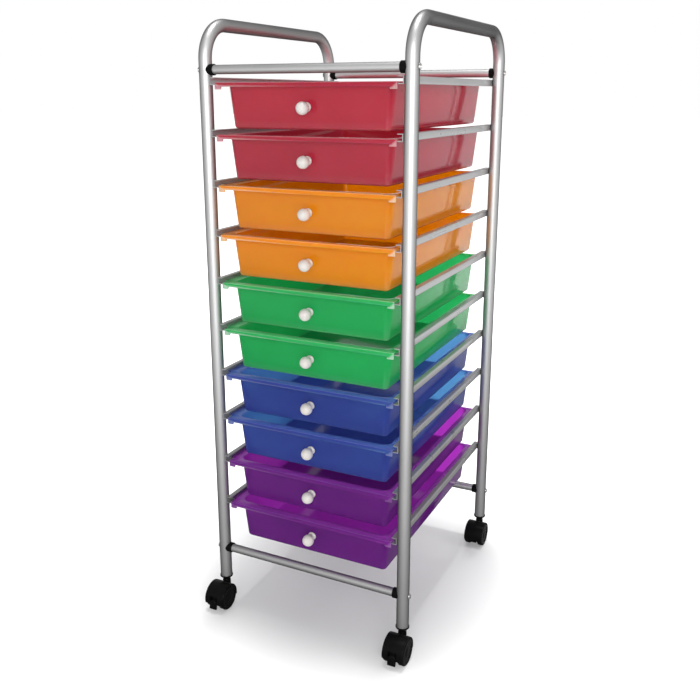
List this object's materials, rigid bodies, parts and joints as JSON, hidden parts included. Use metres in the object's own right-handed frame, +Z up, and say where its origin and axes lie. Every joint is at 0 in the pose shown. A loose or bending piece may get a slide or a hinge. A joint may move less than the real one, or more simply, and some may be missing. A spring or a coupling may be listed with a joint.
{
  "type": "rolling drawer cart",
  "caption": "Rolling drawer cart: bent-tube steel side frames with rails that carry sliding translucent plastic trays with ball knobs, on twin-wheel swivel casters.",
  "frame": {"origin": "on the floor, under the middle of the four posts", "axes": "+Z up, -Y towards the front where the drawers open, +X to the right as seen from the front"},
  "size_m": [0.351, 0.4335, 0.9295],
  "materials": {
    "silver_paint": "satin silver-grey paint on steel tube",
    "rail_paint": "satin light grey paint on folded sheet",
    "bright_steel": "bright zinc plate",
    "black_plastic": "moulded, satin",
    "wheel_plastic": "moulded, matt",
    "knob_white": "moulded, semi-gloss",
    "tray_red": "translucent moulded plastic",
    "tray_orange": "translucent moulded plastic",
    "tray_green": "translucent moulded plastic",
    "tray_blue": "translucent moulded plastic",
    "tray_purple": "translucent moulded plastic"
  },
  "bodies": {
    "frame": {"side_frame_left": "silver_paint", "side_frame_right": "silver_paint", "top_front_bar": "silver_paint", "top_rear_bar": "silver_paint", "bottom_front_bar": "silver_paint", "bottom_rear_bar": "silver_paint", "crossbar_collars": "black_plastic", "crossbar_screws": "bright_steel", "rails_left": "rail_paint", "rails_right": "rail_paint", "caster_sockets": "black_plastic", "caster_stems": "bright_steel"},
    "tray_01": {"drawer_01": "tray_red", "knob_01": "knob_white", "knob_screw_01": "bright_steel"},
    "tray_02": {"drawer_02": "tray_red", "knob_02": "knob_white", "knob_screw_02": "bright_steel"},
    "tray_03": {"drawer_03": "tray_orange", "knob_03": "knob_white", "knob_screw_03": "bright_steel"},
    "tray_04": {"drawer_04": "tray_orange", "knob_04": "knob_white", "knob_screw_04": "bright_steel"},
    "tray_05": {"drawer_05": "tray_green", "knob_05": "knob_white", "knob_screw_05": "bright_steel"},
    "tray_06": {"drawer_06": "tray_green", "knob_06": "knob_white", "knob_screw_06": "bright_steel"},
    "tray_07": {"drawer_07": "tray_blue", "knob_07": "knob_white", "knob_screw_07": "bright_steel"},
    "tray_08": {"drawer_08": "tray_blue", "knob_08": "knob_white", "knob_screw_08": "bright_steel"},
    "tray_09": {"drawer_09": "tray_purple", "knob_09": "knob_white", "knob_screw_09": "bright_steel"},
    "tray_10": {"drawer_10": "tray_purple", "knob_10": "knob_white", "knob_screw_10": "bright_steel"},
    "caster_front_left": {"caster_hood_front_left": "black_plastic", "caster_axle_front_left": "bright_steel"},
    "wheel_front_left_outer": {"wheel_front_left_outer": "wheel_plastic"},
    "wheel_front_left_inner": {"wheel_front_left_inner": "wheel_plastic"},
    "brake_lever_front_left": {"brake_lever_front_left": "black_plastic"},
    "caster_front_right": {"caster_hood_front_right": "black_plastic", "caster_axle_front_right": "bright_steel"},
    "wheel_front_right_outer": {"wheel_front_right_outer": "wheel_plastic"},
    "wheel_front_right_inner": {"wheel_front_right_inner": "wheel_plastic"},
    "brake_lever_front_right": {"brake_lever_front_right": "black_plastic"},
    "caster_rear_left": {"caster_hood_rear_left": "black_plastic", "caster_axle_rear_left": "bright_steel"},
    "wheel_rear_left_outer": {"wheel_rear_left_outer": "wheel_plastic"},
    "wheel_rear_left_inner": {"wheel_rear_left_inner": "wheel_plastic"},
    "caster_rear_right": {"caster_hood_rear_right": "black_plastic", "caster_axle_rear_right": "bright_steel"},
    "wheel_rear_right_outer": {"wheel_rear_right_outer": "wheel_plastic"},
    "wheel_rear_right_inner": {"wheel_rear_right_inner": "wheel_plastic"}
  },
  "joints": [
    {"name": "drawer_01_slide", "type": "slide", "parent": "frame", "child": "tray_01", "axis": [0, -1, 0], "range_m": [0, 0.28]},
    {"name": "drawer_02_slide", "type": "slide", "parent": "frame", "child": "tray_02", "axis": [0, -1, 0], "range_m": [0, 0.28]},
    {"name": "drawer_03_slide", "type": "slide", "parent": "frame", "child": "tray_03", "axis": [0, -1, 0], "range_m": [0, 0.28]},
    {"name": "drawer_04_slide", "type": "slide", "parent": "frame", "child": "tray_04", "axis": [0, -1, 0], "range_m": [0, 0.28]},
    {"name": "drawer_05_slide", "type": "slide", "parent": "frame", "child": "tray_05", "axis": [0, -1, 0], "range_m": [0, 0.28]},
    {"name": "drawer_06_slide", "type": "slide", "parent": "frame", "child": "tray_06", "axis": [0, -1, 0], "range_m": [0, 0.28]},
    {"name": "drawer_07_slide", "type": "slide", "parent": "frame", "child": "tray_07", "axis": [0, -1, 0], "range_m": [0, 0.28]},
    {"name": "drawer_08_slide", "type": "slide", "parent": "frame", "child": "tray_08", "axis": [0, -1, 0], "range_m": [0, 0.28]},
    {"name": "drawer_09_slide", "type": "slide", "parent": "frame", "child": "tray_09", "axis": [0, -1, 0], "range_m": [0, 0.28]},
    {"name": "drawer_10_slide", "type": "slide", "parent": "frame", "child": "tray_10", "axis": [0, -1, 0], "range_m": [0, 0.28]},
    {"name": "caster_front_left_swivel", "type": "hinge", "parent": "frame", "child": "caster_front_left", "pos_m": [-0.1585, -0.19, 0.042], "axis": [0, 0, 1], "continuous": true},
    {"name": "wheel_front_left_outer_spin", "type": "hinge", "parent": "caster_front_left", "child": "wheel_front_left_outer", "pos_m": [-0.1585, -0.208, 0.02], "axis": [1, 0, 0], "continuous": true},
    {"name": "wheel_front_left_inner_spin", "type": "hinge", "parent": "caster_front_left", "child": "wheel_front_left_inner", "pos_m": [-0.1585, -0.208, 0.02], "axis": [1, 0, 0], "continuous": true},
    {"name": "brake_lever_front_left_hinge", "type": "hinge", "parent": "caster_front_left", "child": "brake_lever_front_left", "pos_m": [-0.1585, -0.223, 0.025], "axis": [-1, 0, 0], "range_deg": [0, 20]},
    {"name": "caster_front_right_swivel", "type": "hinge", "parent": "frame", "child": "caster_front_right", "pos_m": [0.1585, -0.19, 0.042], "axis": [0, 0, 1], "continuous": true},
    {"name": "wheel_front_right_outer_spin", "type": "hinge", "parent": "caster_front_right", "child": "wheel_front_right_outer", "pos_m": [0.1585, -0.208, 0.02], "axis": [1, 0, 0], "continuous": true},
    {"name": "wheel_front_right_inner_spin", "type": "hinge", "parent": "caster_front_right", "child": "wheel_front_right_inner", "pos_m": [0.1585, -0.208, 0.02], "axis": [1, 0, 0], "continuous": true},
    {"name": "brake_lever_front_right_hinge", "type": "hinge", "parent": "caster_front_right", "child": "brake_lever_front_right", "pos_m": [0.1585, -0.223, 0.025], "axis": [-1, 0, 0], "range_deg": [0, 20]},
    {"name": "caster_rear_left_swivel", "type": "hinge", "parent": "frame", "child": "caster_rear_left", "pos_m": [-0.1585, 0.19, 0.042], "axis": [0, 0, 1], "continuous": true},
    {"name": "wheel_rear_left_outer_spin", "type": "hinge", "parent": "caster_rear_left", "child": "wheel_rear_left_outer", "pos_m": [-0.1585, 0.172, 0.02], "axis": [1, 0, 0], "continuous": true},
    {"name": "wheel_rear_left_inner_spin", "type": "hinge", "parent": "caster_rear_left", "child": "wheel_rear_left_inner", "pos_m": [-0.1585, 0.172, 0.02], "axis": [1, 0, 0], "continuous": true},
    {"name": "caster_rear_right_swivel", "type": "hinge", "parent": "frame", "child": "caster_rear_right", "pos_m": [0.1585, 0.19, 0.042], "axis": [0, 0, 1], "continuous": true},
    {"name": "wheel_rear_right_outer_spin", "type": "hinge", "parent": "caster_rear_right", "child": "wheel_rear_right_outer", "pos_m": [0.1585, 0.172, 0.02], "axis": [1, 0, 0], "continuous": true},
    {"name": "wheel_rear_right_inner_spin", "type": "hinge", "parent": "caster_rear_right", "child": "wheel_rear_right_inner", "pos_m": [0.1585, 0.172, 0.02], "axis": [1, 0, 0], "continuous": true}
  ]
}
